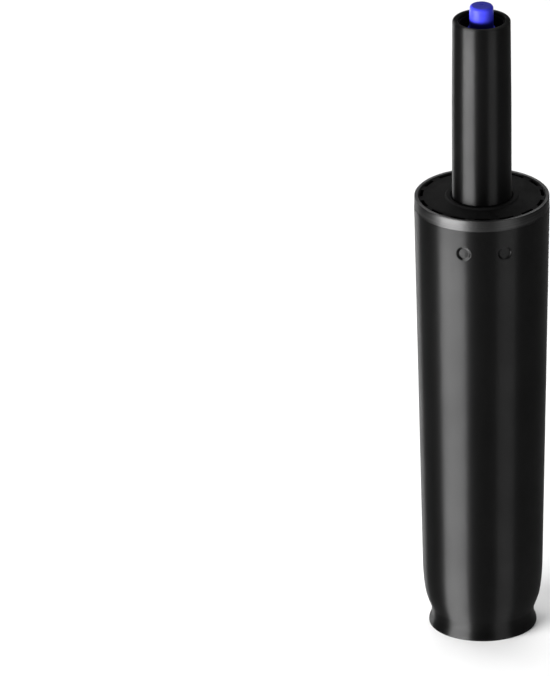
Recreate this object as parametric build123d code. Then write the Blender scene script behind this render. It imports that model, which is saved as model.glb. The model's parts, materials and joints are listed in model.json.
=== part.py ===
from build123d import *
import os
from math import hypot

# Gas lift cylinder that turns and carries a seat, right down, in millimetres.
# The foot of the column stands on z = 0, +Z runs up the cylinder and -Y is the front.

# Column: one rolled steel tube, necked in over the base plug near its foot
column_height = 219.3
column_wall = 2.0
rim_diameter = 63.9
band_cut = 0.2
band_height = 5.4
rim_chamfer = 0.5
shoulder_diameter = 56.4
shoulder_height = 25.9
neck_diameter = 54.0
neck_height = 15.2
waist_diameter = 48.3
waist_height = 6.3
waist_length = 3.6
foot_diameter = 50.8
foot_height = 1.4
foot_edge_round = 0.5
foot_round = 3.2
waist_round = 5.0
neck_round = 25.0
shoulder_round = 110.0

# Crimp dimples that hold the guide sleeve, in pairs round the column
dimple_diameter = 7.1
dimple_floor_diameter = 5.6
dimple_depth = 0.9
dimple_drop = 17.2
dimple_spread = 36.0
dimple_turn = 1.5
dimple_pairs = 3

# Guide sleeve: a ribbed plastic moulding that the pressure tube slides in
sleeve_length = 112.0
sleeve_recess = 0.5
sleeve_hub_wall = 2.6
sleeve_mouth_chamfer = 0.9
sleeve_flange = 3.0
sleeve_boss_diameter = 35.0
sleeve_boss_height = 0.7
sleeve_rib_count = 8
sleeve_rib_width = 2.2
sleeve_ring_wall = 3.0
sleeve_upper_ring = 15.0
sleeve_lower_ring = 9.0
slot_count = 15
slot_angle = 15.0
slot_width = 1.6
slot_lip = 0.5

# Pressure tube, which carries the seat
tube_diameter = 28.0
tube_wall = 2.0
tube_reach = 89.6
tube_tip_diameter = 27.4
tube_tip_length = 42.0
tube_tip_round = 1.2
lip_turn = 0.8
lip_thickness = 2.0
stroke = 120.0

# Base plug and the thrust bearing on it
plug_thickness = 6.5
plug_drop = 1.0
plug_chamfer = 0.8
race_recess = 0.5
race_diameter = 24.0
race_thickness = 1.4
raceway_depth = 0.35
raceway_slack = 0.08
ball_diameter = 3.0
ball_count = 12
ball_circle = 17.0
cage_thickness = 1.6
cage_diameter = 23.0
cage_bore = 11.2

# Piston rod and what holds it in the plug
rod_diameter = 10.0
rod_neck_diameter = 8.0
rod_spigot_diameter = 6.0
rod_tail = 1.6
rod_head_diameter = 8.4
rod_head_height = 2.0
washer_diameter = 16.0
washer_thickness = 1.1
clip_thickness = 1.1
clip_diameter = 13.2
clip_band = 1.9
clip_prong_width = 2.2
clip_opening = 90.0
clip_groove_depth = 0.7
buffer_height = 13.0
buffer_diameter = 26.0
buffer_waist_diameter = 22.0
buffer_edge = 2.0
buffer_round = 3.5

# Piston
piston_height = 12.0
piston_chamfer = 0.8
piston_ring_section = 2.4
piston_washer_diameter = 13.0
piston_washer_thickness = 1.2

# Lower end of the pressure tube: washer, seal and guide round the rod
end_washer_thickness = 1.5
seal_height = 6.5
seal_lip_depth = 2.4
seal_lip_width = 1.6
guide_height = 12.0
guide_spigot = 6.0
guide_chamfer = 0.7

# Inner cylinder, with the gas passage round it
inner_bore = 20.0
inner_wall = 1.0
port_count = 4
inner_port_width = 3.0
inner_port_height = 8.0

# Valve body under the rolled lip, with the passage that the release pin opens
cup_depth = 8.0
cup_diameter = 21.0
valve_height = 31.0
valve_spigot = 8.0
valve_ledge = 1.5
passage_length = 7.0
passage_depth = 1.6
port_diameter = 2.0
valve_chamber_diameter = 7.2
valve_chamber_height = 16.0
o_ring_section = 1.8
pin_ring_section = 1.4
pin_ring_inset = 2.0
seat_bore = 5.2
seat_diameter = 12.0
seat_thickness = 2.4
retainer_bore = 8.0
retainer_thickness = 1.6

# Release pin and the button on it
pin_diameter = 6.0
pin_waist_diameter = 3.6
pin_head_diameter = 6.8
pin_head_height = 2.6
pin_cone_height = 1.5
button_diameter = 11.4
button_height = 12.6
button_rise = 7.2
button_round = 1.5
button_flange_diameter = 12.8
button_flange_thickness = 1.3
button_roof = 6.0
press_travel = 4.0

# Clearances: still parts, sliding or turning parts, and stops that meet in use
still_gap = 0.02
slide_gap = 0.05
stop_gap = 0.2

# Levels that several pieces share, from the foot up
plug_bottom = waist_height - plug_drop
plug_top = plug_bottom + plug_thickness
lower_race_bottom = plug_top - race_recess
lower_race_top = lower_race_bottom + race_thickness
ball_level = lower_race_top + ball_diameter / 2 + slide_gap - raceway_depth
upper_race_bottom = ball_level + (ball_level - lower_race_top)
rod_shoulder = upper_race_bottom + race_thickness
tube_bottom = rod_shoulder + buffer_height + stop_gap
seal_bottom = tube_bottom + lip_thickness + end_washer_thickness
guide_bottom = seal_bottom + seal_height
guide_top = guide_bottom + guide_height
inner_bottom = guide_top
piston_bottom = guide_top + guide_spigot + stroke + stop_gap
piston_top = piston_bottom + piston_height
tube_top = column_height + tube_reach
cup_top = tube_top - lip_thickness
cup_floor = cup_top - cup_depth
valve_shoulder = cup_floor - valve_height + valve_spigot
valve_bottom = valve_shoulder - valve_spigot
passage_bottom = valve_shoulder + valve_ledge
chamber_top = valve_bottom + valve_chamber_height
washer_top = plug_bottom - stop_gap
clip_top = washer_top - washer_thickness
rod_bottom = clip_top - clip_thickness - rod_tail
sleeve_top = column_height - sleeve_recess
sleeve_bottom = sleeve_top - sleeve_length
dimple_height = column_height - dimple_drop

# Radii that several pieces share
tube_radius = tube_diameter / 2
tube_bore_radius = tube_radius - tube_wall
inner_radius = inner_bore / 2
rod_radius = rod_diameter / 2
neck_radius = rod_neck_diameter / 2
race_radius = race_diameter / 2
race_bore_radius = neck_radius + still_gap
pin_radius = pin_diameter / 2
clip_groove_radius = neck_radius - clip_groove_depth


def lathe(*corners):
    """Turn a closed outline round Z: each corner is radius, height and, if round, its fillet."""
    points = [corner[:2] for corner in corners]
    fillets = [corner[2] if len(corner) > 2 else 0 for corner in corners]
    outline = FilletPolyline(*points, radius=fillets, close=True)
    return revolve(Plane.XZ * make_face(outline), Axis.Z)


def ring(inside, outside, bottom, top, bevel=0):
    """A flat ring between two radii, with its four edges bevelled alike."""
    if bevel == 0:
        return lathe((inside, bottom), (outside, bottom), (outside, top), (inside, top))
    return lathe(
        (inside + bevel, bottom),
        (outside - bevel, bottom),
        (outside, bottom + bevel),
        (outside, top - bevel),
        (outside - bevel, top),
        (inside + bevel, top),
        (inside, top - bevel),
        (inside, bottom + bevel),
    )


def sector(inside, outside, bottom, top, angle):
    """A slice of a flat ring that starts at +X and spans an angle."""
    middle = Pos((inside + outside) / 2, (bottom + top) / 2)
    cross_section = middle * Rectangle(outside - inside, top - bottom)
    return revolve(Plane.XZ * cross_section, Axis.Z, revolution_arc=angle)


def around(shape, count, start=0.0):
    """Copies of a shape spaced evenly round Z."""
    return [Rot(0, 0, start + 360 / count * step) * shape for step in range(count)]


def o_ring(inside, section, height):
    """A seal ring of round section that hugs a shaft or groove of the inside radius."""
    return Pos(0, 0, height) * Torus(inside + section / 2, section / 2)


def parallel(corners, distance):
    """The outline moved towards the axis by a distance, its fillets kept on their centres."""
    steps = []
    for (r0, z0, _), (r1, z1, _) in zip(corners, corners[1:]):
        length = hypot(r1 - r0, z1 - z0)
        steps.append(((r1 - r0) / length, (z1 - z0) / length))
    first_r, first_z, first_fillet = corners[0]
    moved = [(first_r - distance / steps[0][1], first_z, first_fillet)]
    for (r, z, fillet), (ar, az), (br, bz) in zip(corners[1:-1], steps, steps[1:]):
        share = distance / (1 + ar * br + az * bz)
        inward = ar * bz - az * br > 0
        concentric = fillet - distance if inward else fillet + distance
        moved.append((r - (az + bz) * share, z + (ar + br) * share, max(concentric, 0)))
    last_r, last_z, last_fillet = corners[-1]
    moved.append((last_r - distance / steps[-1][1], last_z, last_fillet))
    return moved


def column_line():
    """The column's outer wall from foot to rim, before the band is turned."""
    return [
        (foot_diameter / 2, 0, 0),
        (foot_diameter / 2, foot_height, foot_round),
        (waist_diameter / 2, waist_height - waist_length / 2, waist_round),
        (waist_diameter / 2, waist_height + waist_length / 2, waist_round),
        (neck_diameter / 2, neck_height, neck_round),
        (shoulder_diameter / 2, shoulder_height, shoulder_round),
        (rim_diameter / 2, column_height, 0),
    ]


def wall_radius(height):
    """Outer radius of the long tapered wall at a height."""
    share = (height - shoulder_height) / (column_height - shoulder_height)
    return (shoulder_diameter + (rim_diameter - shoulder_diameter) * share) / 2


def column_bore(gap):
    """The space inside the column, drawn in from its wall by a gap."""
    wall = parallel(column_line(), column_wall + gap)
    return lathe((0, 0), *wall, (0, column_height))


def dimples(grow=0.0):
    """The crimps, bulging in from the bore, with their outer dents as a second list."""
    inner_wall = wall_radius(dimple_height) - column_wall
    bulge_height = dimple_depth + column_wall / 2 + grow
    bulge = Cone(
        dimple_diameter / 2 + grow,
        dimple_floor_diameter / 2 + grow,
        bulge_height,
        align=(Align.CENTER, Align.CENTER, Align.MIN),
    )
    dent = Cone(
        dimple_diameter / 2 + column_wall / 2,
        dimple_floor_diameter / 2,
        dimple_depth + column_wall / 2,
        align=(Align.CENTER, Align.CENTER, Align.MIN),
    )
    inwards = Rot(-90, 0, 0)
    bulge = Pos(0, -inner_wall - column_wall / 2, dimple_height) * inwards * bulge
    dent = Pos(0, -inner_wall - column_wall * 3 / 2, dimple_height) * inwards * dent
    bulges = []
    dents = []
    for side in (-1, 1):
        turn = dimple_turn + side * dimple_spread / 2
        bulges += around(bulge, dimple_pairs, turn)
        dents += around(dent, dimple_pairs, turn)
    return bulges, dents


def column_tube():
    """Steel column: foot, rolled neck, long taper, turned band and crimped dimples."""
    outer = column_line()[:-1]
    foot_r, foot_z, _ = outer[0]
    outer[0] = (foot_r, foot_z, foot_edge_round)
    bore = parallel(column_line(), column_wall)
    bore_r = bore[-1][0]
    band_bottom = column_height - band_height
    band_r = rim_diameter / 2 - band_cut
    column = lathe(
        *outer,
        (wall_radius(band_bottom), band_bottom),
        (band_r, band_bottom),
        (band_r, column_height - rim_chamfer),
        (band_r - rim_chamfer, column_height),
        (bore_r + rim_chamfer, column_height),
        (bore_r, column_height - rim_chamfer),
        *reversed(bore[:-1]),
    )
    bulges, dents = dimples()
    return column + bulges - dents


def base_plug():
    """Steel disc that the column is rolled round; it carries the bearing and the rod."""
    slab = ring(neck_radius + slide_gap, foot_diameter, plug_bottom, plug_top)
    plug = column_bore(still_gap) & slab
    seat = ring(0, race_radius + still_gap, lower_race_bottom, plug_top)
    mouth = lathe(
        (0, plug_bottom),
        (neck_radius + slide_gap + plug_chamfer, plug_bottom),
        (neck_radius + slide_gap, plug_bottom + plug_chamfer),
        (0, plug_bottom + plug_chamfer),
    )
    return plug - seat - mouth


def raceway():
    """The ball track, as the ring-shaped tool that cuts it in both races."""
    track = ball_diameter / 2 + raceway_slack
    return Pos(0, 0, ball_level) * Torus(ball_circle / 2, track)


def lower_race():
    """Hardened washer in the plug's seat, clear of the rod's neck."""
    inside = neck_radius + stop_gap
    race = ring(inside, race_radius, lower_race_bottom, lower_race_top)
    return race - Pos(0, 0, slide_gap - raceway_slack) * raceway()


def upper_race():
    """Hardened washer under the rod's shoulder, turning with the rod."""
    top = upper_race_bottom + race_thickness
    race = ring(race_bore_radius, race_radius, upper_race_bottom, top)
    return race - Pos(0, 0, raceway_slack - slide_gap) * raceway()


def bearing_cage():
    """Thin ring that spaces the balls."""
    half = cage_thickness / 2
    cage = ring(cage_bore / 2, cage_diameter / 2, ball_level - half, ball_level + half)
    pocket = Cylinder(ball_diameter / 2 + 2 * slide_gap, 2 * cage_thickness)
    return cage - around(Pos(ball_circle / 2, 0, ball_level) * pocket, ball_count)


def bearing_balls():
    """The balls, each a solid of its own."""
    ball = Pos(ball_circle / 2, 0, ball_level) * Sphere(ball_diameter / 2)
    return Compound(children=around(ball, ball_count))


def piston_rod():
    """Rod with a neck through the bearing and plug, a clip groove and a riveted head."""
    spigot_r = rod_spigot_diameter / 2
    head_r = rod_head_diameter / 2
    head_bottom = piston_top + piston_washer_thickness
    head_top = head_bottom + rod_head_height
    clip_bottom = clip_top - clip_thickness
    bevel = clip_groove_depth
    return lathe(
        (0, rod_bottom),
        (neck_radius - bevel, rod_bottom),
        (neck_radius, rod_bottom + bevel),
        (neck_radius, clip_bottom),
        (clip_groove_radius, clip_bottom),
        (clip_groove_radius, clip_top),
        (neck_radius, clip_top),
        (neck_radius, rod_shoulder),
        (rod_radius, rod_shoulder),
        (rod_radius, piston_bottom),
        (spigot_r, piston_bottom),
        (spigot_r, head_bottom),
        (head_r, head_bottom),
        (head_r, head_top, rod_head_height * 0.6),
        (0, head_top),
    )


def rod_washer():
    """Flat washer between the plug and the clip."""
    return ring(neck_radius + still_gap, washer_diameter / 2, clip_top, washer_top)


def rod_clip():
    """Spring clip with three prongs in the rod's groove, open to one side."""
    outside = clip_diameter / 2
    bottom = clip_top - clip_thickness
    band = ring(outside - clip_band, outside, bottom, clip_top)
    reach = outside - clip_band / 2 - clip_groove_radius - still_gap
    prong = Box(
        reach, clip_prong_width, clip_thickness, align=(Align.MIN, Align.CENTER, Align.MIN)
    )
    prong = Pos(clip_groove_radius + still_gap, 0, bottom) * prong
    opening = sector(0, 2 * outside, bottom, clip_top, clip_opening)
    clip = band - Rot(0, 0, -90 - clip_opening / 2) * opening
    return clip + [Rot(0, 0, turn) * prong for turn in (0, 90, 180)]


def rubber_buffer():
    """Rubber ring on the upper race that the tube lands on when the seat is right down."""
    inside = rod_radius + still_gap
    top = rod_shoulder + buffer_height
    return lathe(
        (inside, rod_shoulder),
        (buffer_diameter / 2, rod_shoulder),
        (buffer_diameter / 2, rod_shoulder + buffer_edge),
        (buffer_waist_diameter / 2, rod_shoulder + buffer_height / 2, buffer_round),
        (buffer_diameter / 2, top - buffer_edge),
        (buffer_diameter / 2, top),
        (inside, top),
    )


def piston():
    """Piston on the rod's spigot, grooved for its seal ring."""
    inside = rod_spigot_diameter / 2 + still_gap
    outside = inner_radius - slide_gap
    piston_blank = ring(inside, outside, piston_bottom, piston_top, piston_chamfer)
    seat = ring(inside, outside - piston_ring_section, piston_bottom, piston_top)
    middle = (piston_bottom + piston_top) / 2
    half_groove = piston_ring_section / 2 + slide_gap
    groove_floor = outside - piston_ring_section - still_gap
    groove = ring(groove_floor, inner_radius, middle - half_groove, middle + half_groove)
    return piston_blank + seat - groove


def piston_ring():
    """Rubber ring in the piston's groove."""
    inside = inner_radius - slide_gap - piston_ring_section
    return o_ring(inside, piston_ring_section, (piston_bottom + piston_top) / 2)


def piston_washer():
    """Washer that the rod's end is riveted over."""
    top = piston_top + piston_washer_thickness
    inside = rod_spigot_diameter / 2 + still_gap
    return ring(inside, piston_washer_diameter / 2, piston_top, top)


def guide_sleeve():
    """Hub, ribs and rings that fill the column's taper, with a slotted flange and a low boss."""
    hub_inside = tube_radius + slide_gap
    hub_outside = hub_inside + sleeve_hub_wall
    wide = rim_diameter / 2
    flange_bottom = sleeve_top - sleeve_flange
    ring_bottom = dimple_height - sleeve_upper_ring / 2
    ring_top = dimple_height + sleeve_upper_ring / 2
    upper_inside = wall_radius(dimple_height) - column_wall - dimple_depth - sleeve_ring_wall
    lower_top = sleeve_bottom + sleeve_lower_ring
    lower_inside = wall_radius(sleeve_bottom) - column_wall - sleeve_ring_wall
    rib_reach = wide - hub_inside
    rib = Box(
        rib_reach,
        sleeve_rib_width,
        sleeve_length,
        align=(Align.MIN, Align.CENTER, Align.MIN),
    )
    body = (
        ring(hub_inside, hub_outside, sleeve_bottom, sleeve_top)
        + ring(hub_inside, wide, flange_bottom, sleeve_top)
        + ring(upper_inside, wide, ring_bottom, ring_top)
        + ring(lower_inside, wide, sleeve_bottom, lower_top)
        + around(Pos(hub_inside, 0, sleeve_bottom) * rib, sleeve_rib_count)
    )
    body = column_bore(still_gap) & body
    boss_r = sleeve_boss_diameter / 2
    boss_top = sleeve_top + sleeve_boss_height
    body += lathe(
        (hub_inside, sleeve_top),
        (boss_r, sleeve_top),
        (boss_r - sleeve_boss_height, boss_top),
        (hub_inside, boss_top),
    )
    slot_outside = wall_radius(sleeve_top) - column_wall - slot_lip
    slot_inside = slot_outside - slot_width
    slot = sector(slot_inside, slot_outside, flange_bottom, sleeve_top, slot_angle)
    slots = around(slot, slot_count, -90 - slot_angle / 2)
    mouth = lathe(
        (0, boss_top - sleeve_mouth_chamfer),
        (hub_inside, boss_top - sleeve_mouth_chamfer),
        (hub_inside + sleeve_mouth_chamfer, boss_top),
        (0, boss_top),
    )
    tube_space = ring(0, hub_inside, sleeve_bottom, boss_top)
    pockets, _ = dimples(slide_gap)
    return body - tube_space - mouth - slots - pockets


def pressure_tube():
    """Outer tube of the gas spring, both ends rolled in, its tip slightly tapered."""
    tip_r = tube_tip_diameter / 2
    lip_r = tube_bore_radius - lip_turn
    tip_start = tube_top - tube_tip_length
    return lathe(
        (lip_r, tube_bottom),
        (tube_radius, tube_bottom, tube_tip_round),
        (tube_radius, tip_start),
        (tip_r, tube_top, tube_tip_round),
        (lip_r, tube_top, lip_turn / 2),
        (lip_r, tube_top - lip_thickness),
        (tube_bore_radius, tube_top - lip_thickness),
        (tube_bore_radius, tube_bottom + lip_thickness),
        (lip_r, tube_bottom + lip_thickness),
    )


def end_washer():
    """Steel washer on the tube's lower lip, under the seal."""
    outside = tube_bore_radius - still_gap
    bottom = tube_bottom + lip_thickness
    return ring(rod_radius + stop_gap, outside, bottom, seal_bottom)


def rod_seal():
    """Rubber seal with its lips open to the pressure side."""
    inside = rod_radius + slide_gap / 2
    outside = tube_bore_radius - still_gap
    lip_floor = guide_bottom - seal_lip_depth
    return lathe(
        (inside, seal_bottom),
        (outside, seal_bottom),
        (outside, guide_bottom),
        (outside - seal_lip_width, guide_bottom),
        (outside - seal_lip_width, lip_floor),
        (inside + seal_lip_width, lip_floor),
        (inside + seal_lip_width / 2, guide_bottom),
        (inside, guide_bottom),
    )


def rod_guide():
    """Bearing bush for the rod, with a spigot that centres the inner cylinder."""
    inside = rod_radius + slide_gap
    outside = tube_bore_radius - still_gap
    spigot_r = inner_radius - still_gap
    spigot_top = guide_top + guide_spigot
    return lathe(
        (inside + guide_chamfer, guide_bottom),
        (outside, guide_bottom),
        (outside, guide_top - guide_chamfer),
        (outside - guide_chamfer, guide_top),
        (spigot_r, guide_top),
        (spigot_r, spigot_top - guide_chamfer),
        (spigot_r - guide_chamfer, spigot_top),
        (inside + guide_chamfer, spigot_top),
        (inside, spigot_top - guide_chamfer),
        (inside, guide_bottom + guide_chamfer),
    )


def inner_cylinder():
    """Thin tube that the piston runs in, with gas ports at its foot."""
    outside = inner_radius + inner_wall
    cylinder = ring(inner_radius, outside, inner_bottom, valve_shoulder)
    port = Box(
        2 * outside,
        inner_port_width,
        guide_spigot + inner_port_height,
        align=(Align.MIN, Align.CENTER, Align.MIN),
    )
    return cylinder - around(Pos(0, 0, inner_bottom) * port, port_count)


def valve_body():
    """Plug with the button's cup on top, a ring passage, cross ports and seal grooves."""
    outside = tube_bore_radius - still_gap
    spigot_r = inner_radius - still_gap
    ledge_r = inner_radius + inner_wall
    passage_r = ledge_r - passage_depth
    passage_top = passage_bottom + passage_length
    body = lathe(
        (0, valve_bottom),
        (spigot_r, valve_bottom),
        (spigot_r, valve_shoulder),
        (ledge_r, valve_shoulder),
        (ledge_r, passage_bottom),
        (passage_r, passage_bottom),
        (passage_r, passage_top),
        (outside, passage_top),
        (outside, cup_top),
        (cup_diameter / 2, cup_top),
        (cup_diameter / 2, cup_floor),
        (0, cup_floor),
    )
    bore = ring(0, pin_radius + slide_gap, chamber_top, cup_floor)
    chamber = ring(0, valve_chamber_diameter / 2, valve_bottom, chamber_top)
    seat_r = seat_diameter / 2 + still_gap
    pocket_top = valve_bottom + seat_thickness + retainer_thickness
    seat_pocket = ring(0, seat_r, valve_bottom, pocket_top)
    port = Cylinder(
        port_diameter / 2, ledge_r, align=(Align.CENTER, Align.CENTER, Align.MIN)
    )
    port = Pos(0, 0, passage_bottom + passage_length / 2) * Rot(0, 90, 0) * port
    groove_wide = o_ring_section / 2 + slide_gap
    groove_z = body_ring_level()
    groove_floor = outside - o_ring_section
    body_groove = ring(groove_floor, outside + 1, groove_z - groove_wide, groove_z + groove_wide)
    groove_z = spigot_ring_level()
    groove_floor = spigot_r - o_ring_section
    spigot_groove = ring(groove_floor, ledge_r, groove_z - groove_wide, groove_z + groove_wide)
    groove_wide = pin_ring_section / 2 + slide_gap
    groove_r = pin_radius + slide_gap + pin_ring_section
    body = body - bore - chamber - seat_pocket - around(port, port_count)
    body = body - body_groove - spigot_groove
    for groove_z in pin_ring_levels():
        body = body - ring(0, groove_r, groove_z - groove_wide, groove_z + groove_wide)
    return body


def body_ring_level():
    """Height of the seal ring between the valve body and the tube."""
    return (passage_bottom + passage_length + cup_floor) / 2


def spigot_ring_level():
    """Height of the seal ring between the valve's spigot and the inner cylinder."""
    return (valve_bottom + valve_shoulder) / 2


def pin_ring_levels():
    """Heights of the two seal rings round the release pin."""
    return (chamber_top + pin_ring_inset, cup_floor - pin_ring_inset)


def body_seal_ring():
    """Rubber ring that seals the valve body in the tube."""
    inside = tube_bore_radius - 2 * still_gap - o_ring_section
    return o_ring(inside + still_gap, o_ring_section, body_ring_level())


def spigot_seal_ring():
    """Rubber ring that seals the valve's spigot in the inner cylinder."""
    inside = inner_radius - 2 * still_gap - o_ring_section
    return o_ring(inside + still_gap, o_ring_section, spigot_ring_level())


def pin_seal_rings():
    """The two rubber rings that the release pin slides in."""
    inside = pin_radius + slide_gap / 2
    rings = [o_ring(inside, pin_ring_section, level) for level in pin_ring_levels()]
    return Compound(children=rings)


def valve_seat():
    """Rubber ring that the pin's cone shuts against."""
    bottom = valve_bottom + retainer_thickness
    return ring(seat_bore / 2, seat_diameter / 2, bottom, bottom + seat_thickness)


def seat_retainer():
    """Brass ring pressed in under the seat."""
    top = valve_bottom + retainer_thickness
    return ring(retainer_bore / 2, seat_diameter / 2, valve_bottom, top)


def release_pin():
    """Pin from the button down to the valve cone, waisted where the gas passes."""
    waist_r = pin_waist_diameter / 2
    head_r = pin_head_diameter / 2
    seat_bottom = valve_bottom + retainer_thickness
    slope = (head_r - waist_r) / pin_cone_height
    cone_at_seat = (head_r - seat_bore / 2) / slope
    cone_bottom = seat_bottom - cone_at_seat - slide_gap / slope
    return lathe(
        (0, cone_bottom - pin_head_height),
        (head_r, cone_bottom - pin_head_height),
        (head_r, cone_bottom),
        (waist_r, cone_bottom + pin_cone_height),
        (waist_r, chamber_top - press_travel),
        (pin_radius, chamber_top - press_travel + pin_cone_height),
        (pin_radius, button_top() - button_roof),
        (0, button_top() - button_roof),
    )


def button_top():
    """Height of the button's pressing face."""
    return tube_top + button_rise


def release_button():
    """Blue plastic cap over the pin, with a flange that stays in the valve's cup."""
    top = button_top()
    bottom = top - button_height
    inside = pin_radius + still_gap
    flange_top = bottom + button_flange_thickness
    return lathe(
        (inside, bottom),
        (button_flange_diameter / 2, bottom),
        (button_flange_diameter / 2, flange_top),
        (button_diameter / 2, flange_top),
        (button_diameter / 2, top, button_round),
        (0, top),
        (0, top - button_roof),
        (inside, top - button_roof),
    )


pieces = [
    column_tube,
    base_plug,
    guide_sleeve,
    lower_race,
    bearing_cage,
    bearing_balls,
    upper_race,
    piston_rod,
    rod_washer,
    rod_clip,
    rubber_buffer,
    piston,
    piston_ring,
    piston_washer,
    pressure_tube,
    end_washer,
    rod_seal,
    rod_guide,
    inner_cylinder,
    valve_body,
    body_seal_ring,
    spigot_seal_ring,
    pin_seal_rings,
    valve_seat,
    seat_retainer,
    release_pin,
    release_button,
]

os.makedirs("parts", exist_ok=True)
for piece in pieces:
    export_step(piece(), f"parts/{piece.__name__}.step")
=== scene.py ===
# %% [markdown]
# # A gas lift cylinder in Blender
#
# A gas lift carries a seat, lets it turn and holds it at any height. A tapered black steel column
# stands on its rolled foot, a slotted plastic sleeve closes its mouth, and a slim black tube
# slides up through the sleeve with a blue release button in its top.
#
# A CAD model of the same part is loaded first and is never moved. It says where every piece is.
# The pieces that the eye rests on are modelled again here with rounder edges, dents and lips, and
# the pieces inside keep their CAD shape and get a finish.

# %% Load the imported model
import bpy
import bmesh
import json
from math import atan2, cos, hypot, pi, radians, sin, tan
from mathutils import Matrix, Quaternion, Vector

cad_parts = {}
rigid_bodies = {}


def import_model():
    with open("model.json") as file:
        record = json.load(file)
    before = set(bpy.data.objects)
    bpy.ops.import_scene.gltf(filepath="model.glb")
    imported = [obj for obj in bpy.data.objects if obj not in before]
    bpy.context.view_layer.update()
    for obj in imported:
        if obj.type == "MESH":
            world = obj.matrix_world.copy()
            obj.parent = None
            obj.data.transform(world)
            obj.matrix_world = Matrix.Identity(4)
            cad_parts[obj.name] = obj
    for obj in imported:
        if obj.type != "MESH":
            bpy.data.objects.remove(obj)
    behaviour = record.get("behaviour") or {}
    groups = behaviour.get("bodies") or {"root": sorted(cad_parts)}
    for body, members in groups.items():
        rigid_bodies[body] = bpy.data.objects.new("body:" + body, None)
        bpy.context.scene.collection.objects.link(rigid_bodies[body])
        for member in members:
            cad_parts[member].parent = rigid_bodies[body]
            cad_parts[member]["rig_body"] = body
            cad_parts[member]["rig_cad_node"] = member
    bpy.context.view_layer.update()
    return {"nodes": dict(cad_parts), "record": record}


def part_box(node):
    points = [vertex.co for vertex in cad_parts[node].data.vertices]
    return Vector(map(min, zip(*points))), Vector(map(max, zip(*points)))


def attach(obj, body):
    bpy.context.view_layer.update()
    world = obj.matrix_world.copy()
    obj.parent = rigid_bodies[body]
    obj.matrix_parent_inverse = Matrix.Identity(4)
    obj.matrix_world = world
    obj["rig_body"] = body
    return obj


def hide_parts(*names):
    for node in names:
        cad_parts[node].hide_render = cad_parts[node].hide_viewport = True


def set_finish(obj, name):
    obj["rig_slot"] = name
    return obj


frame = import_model()
nodes = frame["nodes"]
mm = 0.001


# %% [markdown]
# ## The camera
#
# The photograph looks down at the cylinder from about 24 degrees above the horizon with a long
# lens, because the sides stay almost parallel. The cylinder stands right of the middle, so the
# camera aims beside it and needs no lens shift, and it leans by a third of a degree as the
# cylinder does. In the frame, one millimetre across is 2.125 pixels, and that fixes the focal
# length once the distance is chosen.

# %% Camera
frame_width_px = 550
frame_height_px = 676
pixels_per_mm = 2.125
axis_px = 482.2
foot_centre_px = 621.8
sensor_width = 36
camera_elevation = radians(24.0)
camera_distance = 12.0
camera_roll = radians(-0.34)

aim_x = -(axis_px - frame_width_px / 2) / pixels_per_mm * mm
aim_z = (foot_centre_px - frame_height_px / 2) / (pixels_per_mm * cos(camera_elevation)) * mm
aim = Vector((aim_x, 0, aim_z))
back = Vector((0, -cos(camera_elevation), sin(camera_elevation)))
bpy.ops.object.camera_add(location=aim + back * camera_distance)
camera = bpy.context.object
camera.name = "camera"
level = (-back).to_track_quat("-Z", "Y")
camera.rotation_euler = (level @ Quaternion((0, 0, 1), camera_roll)).to_euler()
long_side = frame_height_px / pixels_per_mm * mm
camera.data.sensor_width = sensor_width
camera.data.lens = sensor_width * camera_distance / long_side
bpy.context.scene.camera = camera
bpy.context.scene.view_settings.view_transform = "Standard"
print("camera lens", round(camera.data.lens, 1), "mm")

# %% [markdown]
# ## Floor and sky
#
# The photograph has a white ground that runs into a white background, a soft shadow and a faint
# reflection under the foot. A floor painted in shadows would be wrong from every other side, so a
# pale floor with a little gloss gives all three. The sky is bright near the horizon, where the
# floor and the edges mirror it, and dim above, so that everything that faces up stays dark.

# %% Floor
def shader_of(finish):
    """The shader node that gives a material its surface."""
    return finish.node_tree.nodes["Principled BSDF"]


floor_width = 40
bpy.ops.object.select_all(action="DESELECT")
bpy.ops.mesh.primitive_plane_add(size=floor_width, location=(0, 0, 0))
floor = bpy.context.object
floor.name = "floor"

floor_finish = bpy.data.materials.new("white_floor")
floor_finish.use_nodes = True
floor_shader = shader_of(floor_finish)
floor_shader.inputs["Base Color"].default_value = (0.84, 0.84, 0.84, 1)
floor_shader.inputs["Roughness"].default_value = 0.22
floor_shader.inputs["Specular IOR Level"].default_value = 0.5
floor.data.materials.append(floor_finish)
print("the floor is", floor_width, "metres wide")

# %% Sky
bright_up_to = radians(5)
dim_from = radians(14)
horizon_strength = 0.95
overhead_strength = 0.10

world = bpy.data.worlds.new("studio")
bpy.context.scene.world = world
world.use_nodes = True
world_nodes = world.node_tree.nodes
world_links = world.node_tree.links
background = world_nodes["Background"]
background.inputs["Color"].default_value = (1, 1, 1, 1)
sky_direction = world_nodes.new("ShaderNodeTexCoord")
sky_axes = world_nodes.new("ShaderNodeSeparateXYZ")
world_links.new(sky_direction.outputs["Generated"], sky_axes.inputs["Vector"])
sky_strength = world_nodes.new("ShaderNodeMapRange")
sky_strength.interpolation_type = "SMOOTHSTEP"
sky_strength.inputs["From Min"].default_value = sin(bright_up_to)
sky_strength.inputs["From Max"].default_value = sin(dim_from)
sky_strength.inputs["To Min"].default_value = horizon_strength
sky_strength.inputs["To Max"].default_value = overhead_strength
world_links.new(sky_axes.outputs["Z"], sky_strength.inputs["Value"])
world_links.new(sky_strength.outputs["Result"], background.inputs["Strength"])
print("the sky fades from", horizon_strength, "at the horizon to", overhead_strength, "overhead")

# %% [markdown]
# ## Lamps
#
# The column shows one broad light on its left, a weak one on its right and darkness between
# them. So two soft boxes stand left and right of the camera and reach down to the floor, where
# a wall that is seen from above mirrors them. A third stands behind on the left and draws the
# thin bright line down the left edge. A wide one, high up behind, lights the ground to about
# white without lighting what faces the camera.

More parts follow.
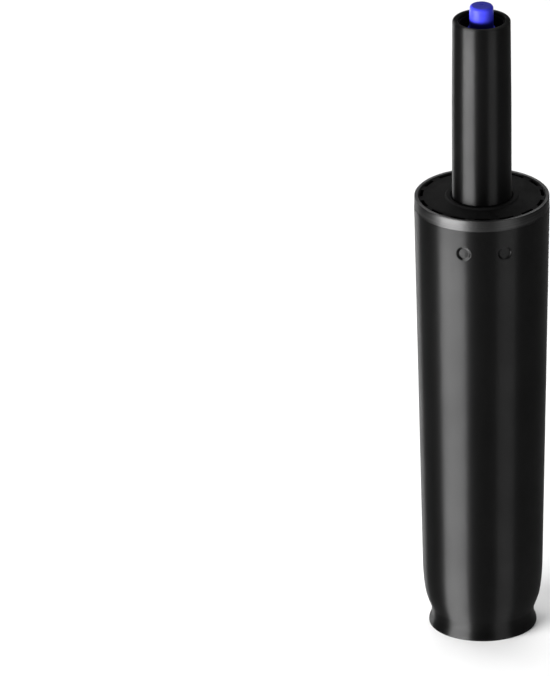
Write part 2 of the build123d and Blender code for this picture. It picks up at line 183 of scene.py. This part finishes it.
# %% Lamps
def soft_box(name, turn, distance, height, width, tall, radiance, aim_height):
    """A lamp at an angle from the front, positive to the right, aimed at the part's axis."""
    place = Vector((sin(turn) * distance, -cos(turn) * distance, height))
    bpy.ops.object.light_add(type="AREA", location=place)
    lamp = bpy.context.object
    lamp.name = name
    lamp.data.shape = "RECTANGLE"
    lamp.data.size = width
    lamp.data.size_y = tall
    lamp.data.energy = radiance * pi * width * tall
    lamp.rotation_euler = (place - Vector((0, 0, aim_height))).to_track_quat("Z", "Y").to_euler()
    print(name, round(lamp.data.energy, 1), "watts")


soft_box(
    "key_light", turn=radians(-51), distance=1.4, height=0.19,
    width=1.16, tall=0.38, radiance=99.0, aim_height=0.15,
)
soft_box(
    "fill_light", turn=radians(41), distance=1.6, height=0.22,
    width=0.9, tall=0.44, radiance=10.0, aim_height=0.15,
)
soft_box(
    "rim_light", turn=radians(-139), distance=1.5, height=0.19,
    width=0.55, tall=0.38, radiance=20.0, aim_height=0.15,
)
soft_box(
    "ground_light", turn=radians(180), distance=1.10, height=2.2,
    width=2.2, tall=2.2, radiance=3.4, aim_height=0.0,
)

# %% [markdown]
# ## Working the way a lathe does
#
# Nearly every piece is turned, so one helper does what a hand would do in edit mode: it adds a
# circle, extrudes it from ring to ring and scales each ring to its radius. A corner that is
# round on the real piece is bevelled afterwards, and the bevel's width is the length of the
# tangent that a fillet of that radius has there.

# %% Edit mode helpers
close_enough = 0.02 * mm
merge_distance = 0.001 * mm


def pick(piece):
    """Make one piece the only selected object and the active one."""
    bpy.ops.object.select_all(action="DESELECT")
    piece.select_set(True)
    bpy.context.view_layer.objects.active = piece


def edit_only(piece):
    """Open one piece in edit mode with nothing in it selected."""
    pick(piece)
    bpy.ops.object.mode_set(mode="EDIT")
    bpy.ops.mesh.select_all(action="DESELECT")


def stop_edit():
    """Back to object mode."""
    bpy.ops.object.mode_set(mode="OBJECT")


def clear_selection(mesh):
    """Deselect every vertex, edge and face of a mesh in edit mode."""
    for element in (*mesh.verts, *mesh.edges, *mesh.faces):
        element.select = False


def select_vertices(piece, wanted):
    """Select the vertices, in edit mode, whose place passes a test."""
    mesh = bmesh.from_edit_mesh(piece.data)
    for vertex in mesh.verts:
        vertex.select = wanted(vertex.co)
    mesh.select_flush_mode()
    bmesh.update_edit_mesh(piece.data)


def select_ring(piece, radius, height):
    """Select the edges of the ring at a radius and height in millimetres."""
    mesh = bmesh.from_edit_mesh(piece.data)
    clear_selection(mesh)
    for edge in mesh.edges:
        on_ring = all(
            abs(hypot(v.co.x, v.co.y) - radius * mm) < close_enough
            and abs(v.co.z - height * mm) < close_enough
            for v in edge.verts
        )
        if on_ring:
            edge.select_set(True)
    bmesh.update_edit_mesh(piece.data)


def select_faces(piece, wanted):
    """Select the faces, in edit mode, whose centre passes a test."""
    mesh = bmesh.from_edit_mesh(piece.data)
    clear_selection(mesh)
    for face in mesh.faces:
        if wanted(face.calc_center_median()):
            face.select_set(True)
    bmesh.update_edit_mesh(piece.data)


# %% The lathe helper
turn_per_segment = radians(11)
radius_per_segment = 15
fewest_segments = 2


def turn_between(before, corner, after):
    """How far a profile turns at a corner, in radians."""
    first = atan2(corner[1] - before[1], corner[0] - before[0])
    second = atan2(after[1] - corner[1], after[0] - corner[0])
    swing = abs(second - first)
    return min(swing, 2 * pi - swing)


def round_corners(piece, line):
    """Bevel each ring of the profile that has a fillet radius as its third number."""
    for index, corner in enumerate(line):
        if len(corner) < 3:
            continue
        radius, height, fillet = corner
        swing = turn_between(line[index - 1], corner, line[(index + 1) % len(line)])
        by_turn = round(swing / turn_per_segment)
        by_size = round(fillet / radius_per_segment)
        select_ring(piece, radius, height)
        bpy.ops.mesh.bevel(
            offset_type="OFFSET",
            offset=fillet * tan(swing / 2) * mm,
            segments=max(fewest_segments, by_turn, by_size),
            profile=0.5,
            affect="EDGES",
            clamp_overlap=True,
        )


def turned(name, line, around, closed=True):
    """Turn a profile of radius and height corners, in millimetres, round Z."""
    bpy.ops.object.select_all(action="DESELECT")
    radius, height = line[0][:2]
    bpy.ops.mesh.primitive_circle_add(vertices=around, radius=radius * mm, location=(0, 0, 0))
    piece = bpy.context.object
    piece.name = name
    edit_only(piece)
    bpy.ops.mesh.select_all(action="SELECT")
    bpy.ops.transform.translate(value=(0, 0, height * mm))
    stops = line[1:] + line[:1] if closed else line[1:]
    for stop in stops:
        bpy.ops.mesh.extrude_region_move()
        lift = (0, 0, (stop[1] - height) * mm)
        bpy.ops.transform.translate(value=lift)
        grow = stop[0] / radius
        middle = (0, 0, stop[1] * mm)
        bpy.ops.transform.resize(value=(grow, grow, 1), center_override=middle)
        radius, height = stop[:2]
    bpy.ops.mesh.select_all(action="SELECT")
    bpy.ops.mesh.remove_doubles(threshold=merge_distance)
    round_corners(piece, line)
    bpy.ops.mesh.select_all(action="SELECT")
    bpy.ops.mesh.normals_make_consistent(inside=False)
    stop_edit()
    print(name, len(piece.data.vertices), "vertices")
    return piece


# %% Finishing helpers
crease_angle = radians(30)


def apply_modifier(piece, kind, **settings):
    """Add a modifier with these settings and apply it."""
    pick(piece)
    modifier = piece.modifiers.new(kind.lower(), kind)
    for setting, value in settings.items():
        setattr(modifier, setting, value)
    bpy.ops.object.modifier_apply(modifier=modifier.name)


def smooth(piece):
    """Smooth shading, broken at the sharp edges."""
    pick(piece)
    bpy.ops.object.shade_smooth_by_angle(angle=crease_angle)


# %% [markdown]
# ## The column
#
# The real column is a welded steel tube, swaged to a long taper so that it locks in its base, and
# rolled in at the foot round a thick plug. Its outside could be a plain cone with a foot stuck
# on, but the rolled curves run one into the other, so it is modelled as one skin, from the foot
# to the rim, with extra rings where the crimp dimples go.

# %% Column skin
column_height = 219.3
column_wall = 2.0
rim_diameter = 63.9
band_diameter = 63.5
band_height = 5.4
shoulder_diameter = 56.4
shoulder_height = 25.9
shoulder_round = 110.0
flare_diameter = 54.0
flare_height = 15.2
flare_round = 25.0
neck_diameter = 48.3
neck_bottom = 4.5
neck_top = 8.1
neck_round = 5.0
foot_diameter = 50.8
foot_side = 1.4
foot_round = 3.2
taper_rings = [60.0, 150.0]
dimple_height = 202.1
dimple_zone = 11.2
zone_rows = 18


def wall_radius(height):
    """Outer radius of the long taper at a height."""
    share = (height - shoulder_height) / (column_height - shoulder_height)
    return (shoulder_diameter + (rim_diameter - shoulder_diameter) * share) / 2


band_bottom = column_height - band_height
zone_bottom = dimple_height - dimple_zone / 2
dimple_rings = [zone_bottom + dimple_zone * step / zone_rows for step in range(zone_rows + 1)]
column_line = [
    (foot_diameter / 2, 0.0),
    (foot_diameter / 2, foot_side, foot_round),
    (neck_diameter / 2, neck_bottom, neck_round),
    (neck_diameter / 2, neck_top, neck_round),
    (flare_diameter / 2, flare_height, flare_round),
    (shoulder_diameter / 2, shoulder_height, shoulder_round),
    *[(wall_radius(height), height) for height in taper_rings + dimple_rings],
    (wall_radius(band_bottom), band_bottom),
    (band_diameter / 2, band_bottom),
    (band_diameter / 2, column_height),
]
column = turned("column_shell", column_line, around=288, closed=False)

# %% [markdown]
# ## Crimp dimples
#
# Six round punch marks, in three pairs, pin the plastic sleeve in the column. A punch leaves a
# flat floor and pulls the metal round it down with it. A boolean cut would leave a hard edge
# instead, so here the grid round each mark is made finer first. Then the floor is selected and
# moved in, and proportional editing lets the metal near it follow.

# %% Push the dimples in
dimple_pairs = 3
pair_middle = 1.5
dimple_side = 18.0
dimple_floor = 2.4
dimple_pull = 1.3
dimple_depth = 0.75
finer_reach = 4.7
out_of_reach = 1000.0
dimple_angles = [
    radians(360 / dimple_pairs * pair + pair_middle + side * dimple_side)
    for pair in range(dimple_pairs)
    for side in (-1, 1)
]


def outward(angle):
    """Direction from the axis at an angle from the front."""
    return Vector((sin(angle), -cos(angle), 0))


def off_centre(point, angle):
    """Distance, in millimetres, from the line through a dimple's middle; far off behind it."""
    direction = outward(angle)
    if point.dot(direction) < 0:
        return out_of_reach
    middle = Vector((0, 0, dimple_height * mm))
    offset = point - middle
    return (offset - direction * offset.dot(direction)).length / mm


edit_only(column)
for angle in dimple_angles:
    select_faces(column, lambda point: off_centre(point, angle) < finer_reach)
    bpy.ops.mesh.subdivide(number_cuts=3)
    select_vertices(column, lambda point: off_centre(point, angle) < dimple_floor)
    bpy.ops.transform.translate(
        value=outward(angle) * -dimple_depth * mm,
        use_proportional_edit=True,
        proportional_edit_falloff="SMOOTH",
        proportional_size=dimple_pull * mm,
    )
stop_edit()
print("dimples pushed in:", len(dimple_angles))

# %% [markdown]
# ## The wall, the mouth and the edges
#
# The metal is two millimetres thick all the way. An inner skin could be turned as well, but then
# the dents would have to be made twice, so the wall grows inwards from the finished skin and
# the dents show inside, as they do in the metal. The skin steps in at the turned band, and so
# does the new bore behind it, but on the real column only the outside was cut there. So the
# mouth is widened back to its true bore. Last, the sharp edges of rim and foot get a small round.

# %% Column wall, mouth and edges
ring_margin = 0.5
inside_diameter = 61.0
rim_edge = 0.45
foot_edge = 0.4


def soften_ring(piece, radius, height, width):
    """Put a small round on the edge at a radius and height in millimetres."""
    select_ring(piece, radius, height)
    bpy.ops.mesh.bevel(offset=width * mm, segments=3, profile=0.5, affect="EDGES")


def in_mouth(point):
    """Whether a point is on the inside of the wall behind the turned band."""
    inside = hypot(point.x, point.y) < inside_diameter / 2 * mm
    return inside and point.z > (band_bottom - ring_margin) * mm


apply_modifier(column, "SOLIDIFY", thickness=column_wall * mm, offset=-1, use_even_offset=True)
edit_only(column)
select_vertices(column, in_mouth)
mesh = bmesh.from_edit_mesh(column.data)
mouth_radius = max(
    hypot(v.co.x, v.co.y)
    for v in mesh.verts
    if v.select and v.co.z > (column_height - ring_margin) * mm
)
rim_bore = rim_diameter / 2 - column_wall
widen = rim_bore * mm / mouth_radius
bpy.ops.transform.resize(value=(widen, widen, 1), center_override=(0, 0, 0))
for radius in (band_diameter / 2, rim_bore):
    soften_ring(column, radius, column_height, rim_edge)
for radius in (foot_diameter / 2, foot_diameter / 2 - column_wall):
    soften_ring(column, radius, 0, foot_edge)
stop_edit()
smooth(column)
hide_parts("column_tube")
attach(column, "column")
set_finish(column, "black_paint")
print("column faces", len(column.data.polygons))

# %% [markdown]
# ## The pressure tube
#
# The slim tube is drawn steel with both ends rolled in over what they hold. Its last stretch
# tapers a little, so that the seat plate wedges on it. A cylinder with a hole would have neither
# lips nor taper, so it is turned too, from a profile that starts at the lower lip and runs up the
# outside, over the upper lip and down the bore.

# %% Pressure tube
tube_diameter = 28.0
tip_diameter = 27.4
tip_length = 42.0
tube_bore = 24.0
lip_bore = 22.4
lip_thickness = 2.0
foot_outer_round = 1.2
foot_inner_round = 0.5
tip_outer_round = 1.3
tip_inner_round = 0.7

tube_low, tube_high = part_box("pressure_tube")
tube_bottom = tube_low.z / mm
tube_top = tube_high.z / mm
tube_line = [
    (lip_bore / 2, tube_bottom, foot_inner_round),
    (tube_diameter / 2, tube_bottom, foot_outer_round),
    (tube_diameter / 2, tube_top - tip_length),
    (tip_diameter / 2, tube_top, tip_outer_round),
    (lip_bore / 2, tube_top, tip_inner_round),
    (lip_bore / 2, tube_top - lip_thickness),
    (tube_bore / 2, tube_top - lip_thickness),
    (tube_bore / 2, tube_bottom + lip_thickness),
    (lip_bore / 2, tube_bottom + lip_thickness),
]
tube = turned("tube_shell", tube_line, around=192)
smooth(tube)
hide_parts("pressure_tube")
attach(tube, "lift_tube")
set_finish(tube, "black_paint")

# %% [markdown]
# ## The release button
#
# A moulded cap: its side leans in a little so that it leaves the mould, its top edge is well
# rounded, a shallow dish lies in the middle of its face, and the flange at its foot keeps it in
# the tube. The underside is hollow where the pin goes in. All of that is one profile, which the
# lathe helper turns, and the hole is closed with one face.

# %% Button
pin_hole_diameter = 6.04
face_thickness = 6.0
flange_diameter = 12.8
flange_height = 1.3
flange_round = 0.3
side_low_diameter = 11.4
side_high_diameter = 11.2
side_foot_round = 0.4
top_round = 1.5
dish_diameter = 2.2
dish_floor_diameter = 1.8
dish_depth = 0.12

button_low, button_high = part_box("release_button")
button_bottom = button_low.z / mm
button_top = button_high.z / mm
button_line = [
    (pin_hole_diameter / 2, button_top - face_thickness),
    (pin_hole_diameter / 2, button_bottom),
    (flange_diameter / 2, button_bottom, flange_round),
    (flange_diameter / 2, button_bottom + flange_height, flange_round),
    (side_low_diameter / 2, button_bottom + flange_height, side_foot_round),
    (side_high_diameter / 2, button_top, top_round),
    (dish_diameter / 2, button_top),
    (dish_floor_diameter / 2, button_top - dish_depth),
    (0.0, button_top - dish_depth),
]
button = turned("button_cap", button_line, around=128, closed=False)
edit_only(button)
select_ring(button, pin_hole_diameter / 2, button_top - face_thickness)
bpy.ops.mesh.edge_face_add()
stop_edit()
smooth(button)
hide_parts("release_button")
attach(button, "release")
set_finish(button, "blue_plastic")

# %% [markdown]
# ## Mouldings and turned parts that the eye meets last
#
# The sleeve's slotted flange, the cup round the button, and the plug, rod end, washer and spring
# clip under the foot have the right shape in the CAD model already, but its edges are perfectly
# sharp. Real edges never are: a mould, a lathe tool or a press rounds them, and that thin
# rounding is what catches the light. So each is copied, its loose triangles are merged into
# whole faces, and a bevel of a fraction of a millimetre goes round every sharp edge.

# %% Copies with rounded edges
flat_angle = radians(1)
sharp_angle = radians(35)
slot_of_node = {part["node"]: part["material_slot"] for part in frame["record"]["subparts"]}


def rounded_copy(name, node, edge_width):
    """A merged copy of a CAD node with its sharp edges rounded, in the node's place."""
    original = nodes[node]
    pick(original)
    bpy.ops.object.duplicate()
    piece = bpy.context.object
    piece.name = name
    del piece["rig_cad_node"]
    bpy.ops.mesh.customdata_custom_splitnormals_clear()
    edit_only(piece)
    bpy.ops.mesh.select_all(action="SELECT")
    bpy.ops.mesh.remove_doubles(threshold=merge_distance)
    bpy.ops.mesh.dissolve_limited(angle_limit=flat_angle)
    bpy.ops.mesh.normals_make_consistent(inside=False)
    stop_edit()
    apply_modifier(
        piece,
        "BEVEL",
        width=edge_width * mm,
        segments=2,
        limit_method="ANGLE",
        angle_limit=sharp_angle,
    )
    smooth(piece)
    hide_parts(node)
    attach(piece, original["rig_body"])
    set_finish(piece, slot_of_node[node])
    print(name, len(piece.data.polygons), "faces")
    return piece


rounded_pieces = [
    rounded_copy("sleeve_moulding", "guide_sleeve", edge_width=0.25),
    rounded_copy("valve_moulding", "valve_body", edge_width=0.15),
    rounded_copy("plug_disc", "base_plug", edge_width=0.25),
    rounded_copy("rod_turned", "piston_rod", edge_width=0.15),
    rounded_copy("clip_spring", "rod_clip", edge_width=0.12),
    rounded_copy("tail_washer", "rod_washer", edge_width=0.12),
]

# %% [markdown]
# ## Finishes
#
# Every finish is made of nodes on Object coordinates, which are metres in the part's own frame.
# A noise that is stretched one way gives machining marks, and an even one gives the peel of
# paint or the grain of a mould. Roughness and bump carry most of the look, because the colours
# themselves are plain.

# %% Finish helpers
def new_finish(name, colour, roughness, metallic=0.0, specular=0.5, edge=1.0):
    """A material with its constants set on the shader's own sockets; edge is the glancing tint."""
    finish = bpy.data.materials.new(name)
    finish.use_nodes = True
    shader = shader_of(finish)
    shader.inputs["Base Color"].default_value = (*colour, 1)
    shader.inputs["Roughness"].default_value = roughness
    shader.inputs["Metallic"].default_value = metallic
    shader.inputs["Specular IOR Level"].default_value = specular
    shader.inputs["Specular Tint"].default_value = (edge, edge, edge, 1)
    print("finish", name, "with a roughness near", roughness)
    return finish


def add_node(finish, kind, **settings):
    """A node with these settings."""
    node = finish.node_tree.nodes.new("ShaderNode" + kind)
    for setting, value in settings.items():
        setattr(node, setting, value)
    return node


def link(finish, source, target):
    """Join an output to an input."""
    finish.node_tree.links.new(source, target)


# %% Pattern helpers
def grain(finish, stretch, detail=4.0):
    """A noise whose spots per metre along X, Y and Z are given by stretch."""
    place = add_node(finish, "TexCoord")
    mapping = add_node(finish, "Mapping")
    mapping.inputs["Scale"].default_value = stretch
    noise = add_node(finish, "TexNoise")
    noise.inputs["Scale"].default_value = 1.0
    noise.inputs["Detail"].default_value = detail
    link(finish, place.outputs["Object"], mapping.inputs["Vector"])
    link(finish, mapping.outputs["Vector"], noise.inputs["Vector"])
    return noise.outputs["Fac"]


def ring_marks(finish, per_metre):
    """Slightly wandering rings round Z at an even pitch, as a facing tool leaves them."""
    place = add_node(finish, "TexCoord")
    wave = add_node(finish, "TexWave", wave_type="RINGS", rings_direction="Z")
    wave.inputs["Scale"].default_value = per_metre
    wave.inputs["Distortion"].default_value = 0.6
    wave.inputs["Detail"].default_value = 3.0
    wave.inputs["Detail Scale"].default_value = 0.4
    link(finish, place.outputs["Object"], wave.inputs["Vector"])
    return wave.outputs["Fac"]


# %% Helpers that put a pattern to use
def vary_roughness(finish, source, low, high):
    """Let the middle range of a pattern run the roughness from low to high."""
    ramp = add_node(finish, "MapRange")
    ramp.inputs["From Min"].default_value = 0.3
    ramp.inputs["From Max"].default_value = 0.7
    ramp.inputs["To Min"].default_value = low
    ramp.inputs["To Max"].default_value = high
    link(finish, source, ramp.inputs["Value"])
    link(finish, ramp.outputs["Result"], shader_of(finish).inputs["Roughness"])


def vary_colour(finish, source, dark, light):
    """Let the middle range of a pattern run the colour from dark to light."""
    ramp = add_node(finish, "ValToRGB")
    dark_end, light_end = ramp.color_ramp.elements
    dark_end.position = 0.35
    light_end.position = 0.65
    dark_end.color = (*dark, 1)
    light_end.color = (*light, 1)
    link(finish, source, ramp.inputs["Fac"])
    link(finish, ramp.outputs["Color"], shader_of(finish).inputs["Base Color"])


def raise_bumps(finish, source, height):
    """Let a pattern stand out of the surface by a height in metres, on top of earlier bumps."""
    normal = shader_of(finish).inputs["Normal"]
    bump = add_node(finish, "Bump")
    bump.inputs["Distance"].default_value = height
    link(finish, source, bump.inputs["Height"])
    if normal.links:
        link(finish, normal.links[0].from_socket, bump.inputs["Normal"])
    link(finish, bump.outputs["Normal"], normal)


def lay_along_axis(finish, amount):
    """Stretch the shine along the axis, as fine marks round a drawn or turned surface do."""
    quarter_turn = 0.25
    shader = shader_of(finish)
    around_axis = add_node(finish, "Tangent", direction_type="RADIAL", axis="Z")
    link(finish, around_axis.outputs["Tangent"], shader.inputs["Tangent"])
    shader.inputs["Anisotropic"].default_value = amount
    shader.inputs["Anisotropic Rotation"].default_value = quarter_turn


# %% [markdown]
# ## Black paint
#
# The walls wear a satin black paint with a faint peel. Black on a white floor is hard to keep
# black: an ordinary gloss mirrors the floor at its edges and turns them pale. So the paint is a
# very dark metallic finish with a darkened edge tint, and its shine is stretched along the axis.
# That draws each lamp out into a long upright streak, as it does on a drawn tube.

# %% Black paint
black_paint = new_finish("black_paint", (0.0165, 0.0165, 0.0165), 0.52, metallic=1.0, edge=0.62)
lay_along_axis(black_paint, 1.0)
vary_roughness(black_paint, grain(black_paint, (45, 45, 45)), 0.50, 0.54)
vary_colour(
    black_paint, grain(black_paint, (25, 25, 12)), (0.015, 0.015, 0.015), (0.018, 0.018, 0.018)
)
raise_bumps(black_paint, grain(black_paint, (900, 900, 900), detail=2.0), 0.004 * mm)

# %% [markdown]
# ## Bare steel at the mouth
#
# The last few millimetres of the column were turned to size and its end was faced, which leaves
# bare steel with the marks of the tool. Modelled grooves would be far too fine, so a noise that is
# squeezed along the axis makes the marks round the band, and rings round the axis those on the
# flat rim. One pattern sets the band's roughness, colour and bump, so that its marks agree.

# %% Turned steel of the band
band_steel = new_finish("turned_band", (0.03, 0.03, 0.03), 0.46, metallic=1.0, edge=0.5)
lay_along_axis(band_steel, 0.65)
turning = grain(band_steel, (30, 30, 2600), detail=3.0)
vary_roughness(band_steel, turning, 0.40, 0.52)
vary_colour(band_steel, turning, (0.014, 0.014, 0.014), (0.028, 0.028, 0.028))
raise_bumps(band_steel, turning, 0.02 * mm)

# %% Faced steel of the rim
faced_rim = new_finish("faced_rim", (0.05, 0.05, 0.05), 0.34, metallic=1.0)
vary_roughness(faced_rim, grain(faced_rim, (300, 300, 300)), 0.28, 0.42)
raise_bumps(faced_rim, ring_marks(faced_rim, 900), 0.006 * mm)

# %% [markdown]
# ## Black moulding and blue cap
#
# The sleeve and the cup round the button are moulded in a dull black plastic, which keeps the fine
# grain of its mould, and the cap in a smoother blue one. A plastic could be given its usual
# specular level, but these face up to the sky and the lamps, which would wash them out, so theirs
# is kept very low and the colour does the work.

# %% Black moulding and blue cap
black_moulding = new_finish("black_moulding", (0.004, 0.004, 0.004), 0.60, specular=0.03)
vary_roughness(black_moulding, grain(black_moulding, (120, 120, 120)), 0.56, 0.68)
raise_bumps(black_moulding, grain(black_moulding, (2200, 2200, 2200), detail=2.0), 0.006 * mm)
raise_bumps(black_moulding, ring_marks(black_moulding, 500), 0.006 * mm)

blue_cap = new_finish("blue_cap", (0.018, 0.020, 0.28), 0.36, specular=0.05)
vary_roughness(blue_cap, grain(blue_cap, (300, 300, 300)), 0.34, 0.40)
raise_bumps(blue_cap, grain(blue_cap, (1500, 1500, 1500), detail=2.0), 0.003 * mm)

# %% [markdown]
# ## Metals inside and under the foot
#
# The plug, races, washers and clip are plain steel, the rod and the balls are ground and
# polished, the piston is turned from aluminium, and the cage and the seat's retainer from brass.
# Each is a metallic finish, and what sets one apart from the next is its colour, how rough it is
# and which way its marks run: a noise squeezed along the axis on what a lathe turned, rings on
# what it faced.

# %% Metals inside and under the foot
zinc_steel = new_finish("zinc_steel", (0.50, 0.50, 0.51), 0.36, metallic=1.0)
vary_roughness(zinc_steel, grain(zinc_steel, (150, 150, 150)), 0.28, 0.45)
vary_colour(
    zinc_steel, grain(zinc_steel, (90, 90, 90)), (0.42, 0.42, 0.43), (0.56, 0.56, 0.56)
)
raise_bumps(zinc_steel, ring_marks(zinc_steel, 900), 0.006 * mm)

polished_rod = new_finish("polished_rod", (0.70, 0.70, 0.72), 0.16, metallic=1.0)
vary_roughness(polished_rod, grain(polished_rod, (60, 60, 2400)), 0.12, 0.24)
raise_bumps(polished_rod, grain(polished_rod, (40, 40, 3000)), 0.002 * mm)

aluminium = new_finish("turned_aluminium", (0.66, 0.67, 0.69), 0.34, metallic=1.0)
vary_roughness(aluminium, grain(aluminium, (40, 40, 1800)), 0.28, 0.42)
raise_bumps(aluminium, ring_marks(aluminium, 700), 0.005 * mm)

brass = new_finish("turned_brass", (0.72, 0.52, 0.24), 0.32, metallic=1.0)
vary_roughness(brass, grain(brass, (50, 50, 1500)), 0.26, 0.40)
vary_colour(brass, grain(brass, (200, 200, 200)), (0.62, 0.43, 0.18), (0.76, 0.56, 0.27))

# %% [markdown]
# ## Rubber and natural plastic
#
# The seals and the buffer are black rubber, dull and a little uneven, and the guide of the rod is
# moulded in plastic with no colour added, which looks like cream. Both are hidden in normal use,
# so a roughness that wanders, with a soft bump on the one and a slight change of colour on the
# other, is all that they need.

# %% Rubber and natural plastic
rubber = new_finish("seal_rubber", (0.018, 0.018, 0.018), 0.62, specular=0.4)
vary_roughness(rubber, grain(rubber, (400, 400, 400)), 0.55, 0.72)
raise_bumps(rubber, grain(rubber, (1200, 1200, 1200)), 0.01 * mm)

natural_plastic = new_finish("natural_plastic", (0.70, 0.68, 0.60), 0.45)
vary_roughness(natural_plastic, grain(natural_plastic, (250, 250, 250)), 0.38, 0.52)
vary_colour(
    natural_plastic, grain(natural_plastic, (80, 80, 80)), (0.64, 0.62, 0.54), (0.74, 0.72, 0.65)
)

# %% [markdown]
# ## Putting the finishes on
#
# Each CAD node and each rounded copy has one finish, which its slot in the record names. The
# column has three: paint on its walls, turned steel on the band and faced steel on the rim. It
# could be cut into three pieces, but a mesh can hold several materials and each face can point
# at its own, so the faces are sorted by their place and by where they face.

# %% Pieces of one finish
finish_of_slot = {
    "black_paint": black_paint,
    "bright_steel": zinc_steel,
    "polished_rod": polished_rod,
    "black_plastic": black_moulding,
    "natural_plastic": natural_plastic,
    "blue_plastic": blue_cap,
    "aluminium": aluminium,
    "brass": brass,
    "rubber": rubber,
}
for node, slot in slot_of_node.items():
    nodes[node].material_slots[0].material = finish_of_slot[slot]
for piece in rounded_pieces:
    piece.material_slots[0].material = finish_of_slot[piece["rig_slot"]]
tube.data.materials.append(black_paint)
button.data.materials.append(blue_cap)
print("CAD nodes with a finish:", len(slot_of_node))

# %% Finishes of the column
for finish in (black_paint, band_steel, faced_rim):
    column.data.materials.append(finish)
painted, turned_band, faced = range(3)
faces_up = 0.9
face_counts = [0, 0, 0]
for face in column.data.polygons:
    in_band = face.center.z > band_bottom * mm - close_enough
    outside = hypot(face.center.x, face.center.y) > rim_bore * mm + close_enough
    if in_band and face.normal.z > faces_up:
        face.material_index = faced
    elif in_band and outside:
        face.material_index = turned_band
    else:
        face.material_index = painted
    face_counts[face.material_index] += 1
print("column faces painted, turned and faced:", face_counts)
